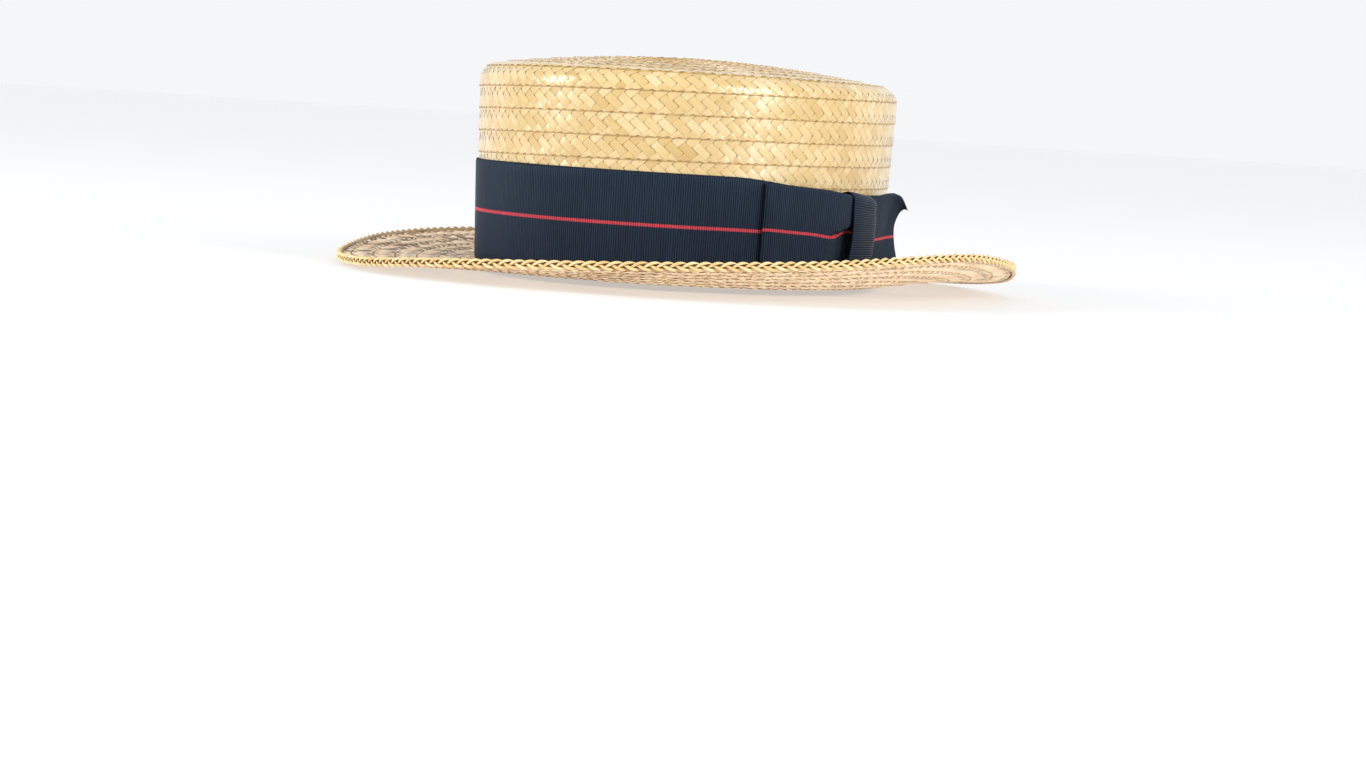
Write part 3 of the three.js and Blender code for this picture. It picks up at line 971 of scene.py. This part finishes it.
def ribbonTree(look):
    # a flat length of ribbon along X, ribbed on both faces, thin at its edges and ends
    tree, given = newTree(
        "ribbedRibbon", ("length", "width", "edgeGather", *ribbonLengths), ("ribs", "stepsPerRib", "rows"))
    length = given["length"]
    columns = sums(tree, "MULTIPLY_ADD", given["ribs"], given["stepsPerRib"], 1.0)
    grid = addNode(tree, "GeometryNodeMeshGrid", {
        "Size X": length, "Size Y": 2.0, "Vertices X": columns, "Vertices Y": given["rows"]})
    here = axes(tree)
    share = sums(tree, "ABSOLUTE", here["Y"])
    inward = sums(tree, "POWER", sums(tree, "SUBTRACT", 1.0, share), given["edgeGather"])
    spread = times(tree, sums(tree, "SIGN", here["Y"]), sums(tree, "SUBTRACT", 1.0, inward))
    half = times(tree, given["width"], 0.5)
    across = sums(tree, "MULTIPLY_ADD", spread, half, half)
    along = sums(tree, "MULTIPLY_ADD", length, 0.5, here["X"])
    phase = sums(tree, "DIVIDE", times(tree, along, given["ribs"]), length)
    rib = sums(tree, "ABSOLUTE", sums(tree, "SINE", times(tree, phase, math.pi)))
    edge = sums(tree, "GREATER_THAN", share, 0.999)
    end = sums(tree, "GREATER_THAN", sums(tree, "ABSOLUTE", here["X"]), times(tree, length, 0.49999))
    inside = sums(tree, "SUBTRACT", 1.0, sums(tree, "MAXIMUM", edge, end))
    sunk = times(tree, given["ribHeight"], sums(tree, "SUBTRACT", rib, 1.0))
    height = times(tree, inside, sums(tree, "MULTIPLY_ADD", given["wall"], 0.5, sunk))
    picot = times(tree, times(tree, edge, rib), times(tree, given["scallop"], spread))
    outer = vector(tree, along, sums(tree, "ADD", across, picot), height)
    under = addNode(tree, "ShaderNodeVectorMath", {0: outer, 1: (1.0, 1.0, -1.0)}, operation="MULTIPLY")
    kept = stored(tree, grid.outputs[0], "ribbon", vector(tree, along, across, rib))
    low = addNode(tree, "GeometryNodeFlipFaces", {"Mesh": moved(tree, kept, under.outputs[0])})
    both = gathered(tree, (moved(tree, kept, outer), low.outputs[0]))
    closed = addNode(tree, "GeometryNodeMergeByDistance", {"Geometry": both, "Distance": 0.001 * mm})
    done = coloured(tree, realized(tree, smoothed(tree, closed.outputs[0])), look)
    addNode(tree, "NodeGroupOutput", {0: done})
    return tree


def ribbonMesh(tree, name, length, width, rows, gather):
    sizes = {label: ribbon[label] for label in ribbonLengths}
    mesh = runTree(tree, name, {
        **sizes, "length": length, "width": width, "edgeGather": gather, "rows": rows,
        "ribs": round(length / ribbon["ribPitch"]), "stepsPerRib": ribbon["stepsPerRib"]})
    # each corner quad is cut from the corner inward, so that its two faces part
    shape = bmesh.new()
    shape.from_mesh(mesh)
    for corner in [vert for vert in shape.verts if len(vert.link_faces) == 2]:
        near = {vert for edge in corner.link_edges for vert in edge.verts}
        for face in list(corner.link_faces):
            for far in set(face.verts) - near:
                bmesh.utils.face_split(face, corner, far)
    shape.to_mesh(mesh)
    shape.free()
    return mesh


# bow: where it sits on the band, and its three pieces, measured along the band from the knot, back being plus
bow = {
    "azimuth": 79.3,
    "arcRadius": 101 * mm,
    "bandOut": 1.3 * mm,
    "dip": 5.2 * mm,
    "dipAzimuth": 100,
    "dipFlat": 22,
    "dipReach": 60,
    "underLeaf": 0.85 * mm,
    "pleatWidth": 0.03,
    "pleatTuck": 1.6 * mm,
    "waist": 0.6,
    "knotCurl": 0.9 * mm,
}
frontLeaf = rowsOf(("along", "out", "sink", "lip", "top", "stripe", "bottom"), [
    (-51, 2.5, 0, 0.5, 41.1, 22.2, 1.8),
    (-38, 3.3, 0, 0.5, 40.4, 21.6, 1.8),
    (-27, 4.4, 0, 0.5, 39.7, 21.0, 1.8),
    (-19, 5.3, 0.2, 0.51, 39.1, 20.2, 1.9),
    (-14, 6, 2.2, 0.53, 38.4, 20.4, 2.2),
    (-9.5, 6.2, 3.9, 0.56, 37.8, 21.4, 2.8),
    (-7, 5.6, 3.8, 0.57, 37.4, 22, 3.4),
    (-2, 4.2, 2.2, 0.58, 36.8, 22.2, 4),
    (3, 3.2, 1.2, 0.58, 35.8, 21.6, 4.6),
])
tailLeaf = rowsOf(("along", "outTop", "outWaist", "outBottom", "top", "stripe", "bottom", "droop"), [
    (6, 2.8, 3.2, 3, 34.6, 19.6, 4.2, 0),
    (10, 3.6, 3.8, 3.4, 36.4, 19.2, 3.4, 0),
    (14, 4.4, 4.2, 3.6, 37.4, 19.2, 3.2, 0),
    (20, 4.6, 3.6, 3.2, 38.2, 19.2, 2.8, 0),
    (28, 4.8, 3, 3.4, 38.8, 19.5, 2.6, 0),
    (34, 5.8, 3, 5.2, 39, 19.8, 2.6, 0.4),
    (38, 7.8, 3.6, 7.4, 39, 20, 2.7, 2),
    (42, 10, 4.6, 10.2, 38.6, 20.2, 2.8, 7),
])
knotStrap = rowsOf(("out", "left", "right", "leftHeight", "rightHeight"), [
    (0.9, -8, 8, 2.4, 2.4),
    (3.8, -8, 8.5, 2.2, 2.2),
    (5.8, -8, 9, 3.4, 3.4),
    (7.2, -7.6, 9.8, 9, 9),
    (7.8, -6.6, 10.6, 21, 21),
    (7.6, -7, 10.4, 31, 30),
    (6.8, -7.6, 9.8, 37.6, 35.6),
    (4.6, -7.8, 9.2, 38.8, 36.8),
    (0.9, -7.8, 8.8, 38.2, 36.4),
])


def column(rows, name, unit=mm):
    return np.array([row[name] for row in rows]) * unit


def smoothRun(places, values, at):
    # a smooth open curve through the values
    slopes = np.gradient(values, places)
    spot = np.clip(np.searchsorted(places, at, side="right") - 1, 0, len(places) - 2)
    span = places[spot + 1] - places[spot]
    share = np.clip((at - places[spot]) / span, 0, 1)
    return eased(values[spot], values[spot + 1], slopes[spot] * span, slopes[spot + 1] * span, share)


def onBand(along, out, height):
    angle = math.radians(bow["azimuth"]) + along / bow["arcRadius"]
    flare = hat["flare"] * height / hat["sideHeight"]
    return onOval(angle, bow["bandOut"] + flare + out, hat["foot"] + height)


def offSheet(sheet, length, width):
    # lays a flat ribbon on a curved sheet, its thickness square to the sheet
    def place(along, across, height):
        step = 0.05 * mm
        ahead, behind = np.minimum(along + step, length), np.maximum(along - step, 0)
        higher, lower = np.minimum(across + step, width), np.maximum(across - step, 0)
        forward = sheet(ahead, across) - sheet(behind, across)
        upward = sheet(along, higher) - sheet(along, lower)
        square = np.cross(forward, upward)
        square /= np.linalg.norm(square, axis=-1, keepdims=True)
        return sheet(along, across) + square * height[..., None]

    return place


def travelled(points):
    return np.concatenate([[0], np.cumsum(np.linalg.norm(np.diff(points, axis=0), axis=1))])


def heightAt(named, share):
    # up the ribbon from its bottom edge to its stripe, and on to its top edge
    half = np.minimum(share, 0.5) * 2
    rest = np.maximum(share - 0.5, 0) * 2
    lower = (named["stripe"] - named["bottom"]) * half
    return named["bottom"] + lower + (named["top"] - named["stripe"]) * rest


def makeBand(tree):
    def midLine(angle):
        return onOval(angle, hat["gap"] + ribbon["wall"] / 2 + hat["flare"] * 0.28, 0)

    route, angles = spiralRoute(midLine, 1, math.radians(bow["azimuth"]) - 2 * math.pi)
    length = route[-1] - hat["gap"]

    def place(along, across, height):
        # the bow draws the top edge down, and the ribbon below gives way to it
        angle = np.interp(along, route, angles)
        away = np.mod(angle - math.radians(bow["dipAzimuth"]) + math.pi, 2 * math.pi) - math.pi
        fade = np.clip((np.degrees(np.abs(away)) - bow["dipFlat"]) / (bow["dipReach"] - bow["dipFlat"]), 0, 1)
        dip = bow["dip"] * (1 - fade * fade * (3 - 2 * fade))
        rise = hat["gap"] + across - dip * (across / ribbon["width"]) ** 2
        middle = (hat["gap"] + bow["bandOut"]) / 2 + hat["flare"] * rise / hat["sideHeight"]
        return onOval(angle, middle + height, hat["foot"] + rise)

    mesh = ribbonMesh(tree, "ribbonBand", length, ribbon["width"], 9, 2.2)
    wrapMesh(mesh, place, False)
    piece = joined("ribbonBand", [mesh], "ribbon_band")


def makeFrontLoop(tree):
    under = bow["underLeaf"]
    rows = [
        {name: value if name == "lip" else value * mm for name, value in row.items()}
        for row in frontLeaf]
    first = rows[0]
    middle, radius = (first["out"] + under) / 2, (first["out"] - under) / 2
    inner = [{**row, "out": under, "sink": 0.0} for row in reversed(rows)]
    fold = []
    for turn in np.radians(np.linspace(-60, 60, 5)):
        ahead = first["along"] - radius * math.cos(turn)
        fold.append({**first, "along": ahead, "out": middle + radius * math.sin(turn)})
    path = inner + fold + rows
    places = travelled(np.stack([column(path, "along", 1), column(path, "out", 1)], axis=1))
    length = places[-1]

    def sheet(along, across):
        named = {name: smoothRun(places, column(path, name, 1), along) for name in first}
        share = across / ribbon["width"]
        height = heightAt(named, share)
        # below the pleat's lip the ribbon is drawn in toward the crown
        below = np.clip((named["lip"] - share) / bow["pleatWidth"] + 0.5, 0, 1)
        below = below * below * (3 - 2 * below)
        out = named["out"] - np.maximum(named["sink"], 0) * below
        pleated = np.clip(named["sink"] / (2 * mm), 0, 1)
        tuck = bow["pleatTuck"] * pleated * 4 * below * (1 - below)
        return onBand(named["along"], out, height + tuck)

    mesh = ribbonMesh(tree, "bowFrontLoop", length, ribbon["width"], 45, 1.1)
    wrapMesh(mesh, offSheet(sheet, length, ribbon["width"]), False)
    piece = joined("bowFrontLoop", [mesh], "bow_front_loop")


def makeTail(tree):
    places = travelled(np.stack([column(tailLeaf, "along"), column(tailLeaf, "outWaist")], axis=1))
    length = places[-1]

    def sheet(along, across):
        named = {name: smoothRun(places, column(tailLeaf, name), along) for name in tailLeaf[0]}
        share = across / ribbon["width"]
        height = heightAt(named, share)
        high = np.maximum(share / bow["waist"] - 1, 0) * bow["waist"] / (1 - bow["waist"])
        low = np.maximum(1 - share / bow["waist"], 0)
        out = named["outWaist"] + (named["outTop"] - named["outWaist"]) * high ** 1.6
        out = out + (named["outBottom"] - named["outWaist"]) * low ** 1.6
        return onBand(named["along"], out, height - named["droop"] * high ** 3)

    mesh = ribbonMesh(tree, "bowTail", length, ribbon["width"], 33, 1.2)
    wrapMesh(mesh, offSheet(sheet, length, ribbon["width"]), False)
    piece = joined("bowTail", [mesh], "bow_tail")


def makeKnot(tree):
    places = travelled(np.stack([column(knotStrap, "leftHeight"), column(knotStrap, "out")], axis=1))
    length = places[-1]
    width = (knotStrap[4]["right"] - knotStrap[4]["left"]) * mm

    def sheet(along, across):
        named = {name: smoothRun(places, column(knotStrap, name), along) for name in knotStrap[0]}
        share = across / width
        aside = named["right"] + (named["left"] - named["right"]) * share
        height = named["rightHeight"] + (named["leftHeight"] - named["rightHeight"]) * share
        curl = bow["knotCurl"] * np.abs(2 * share - 1) ** 4
        return onBand(aside, np.maximum(named["out"] - curl, 0.6 * mm), height)

    mesh = ribbonMesh(tree, "bowKnot", length, width, 23, 1.2)
    wrapMesh(mesh, offSheet(sheet, length, width), False)
    piece = joined("bowKnot", [mesh], "bow_knot")


edgeStraw = {
    "tones": [
        (0.0, (0.58, 0.35, 0.11)), (0.35, (0.72, 0.49, 0.19)),
        (0.7, (0.80, 0.60, 0.29)), (1.0, (0.88, 0.74, 0.46))],
    "grain": (0.56, 0.34, 0.11),
    # rim: painted shade for the thin gaps between the chain's straws
    "rim": (0.34, 0.18, 0.05),
    "contrast": 0.7,
    "halfWidth": 0.6 * mm,
    "roughness": 0.36,
    "coat": 0.3,
    "grainBump": 0.15,
}

threadLook = threadAndShadeMaterial("stitchThread", (0.16, 0.075, 0.02), (0.42, 0.24, 0.08))
# painted shade: the dark grounds under the straws and in the gaps of the edge chain
crownShade = threadAndShadeMaterial("crownShade", (0.30, 0.18, 0.06), (0.52, 0.35, 0.14))
brimShade = threadAndShadeMaterial("brimShade", (0.05, 0.02, 0.008), (0.16, 0.08, 0.03))
underShade = threadAndShadeMaterial("underShade", (0.20, 0.11, 0.05), (0.44, 0.29, 0.15))
edgeShade = threadAndShadeMaterial("edgeShade", (0.045, 0.016, 0.004), (0.12, 0.05, 0.012))
brimLook = strawMaterial("brimStraw", brimStraw)
underLook = strawMaterial("underStraw", {**brimStraw, "tones": underTones, "contrast": 0.85})
makeCrown(strawMaterial("crownStraw", crownStraw), threadLook, crownShade)
makeBrim((brimLook, underLook), threadLook, (brimShade, underShade))
makeEdge(strawMaterial("edgeStraw", edgeStraw), (edgeShade, edgeShade, underLook, underLook))
stripedTree = ribbonTree(ribbonMaterial("stripedRibbon", True))
makeBand(stripedTree)
makeFrontLoop(stripedTree)
makeTail(stripedTree)
makeKnot(ribbonTree(ribbonMaterial("plainRibbon", False)))
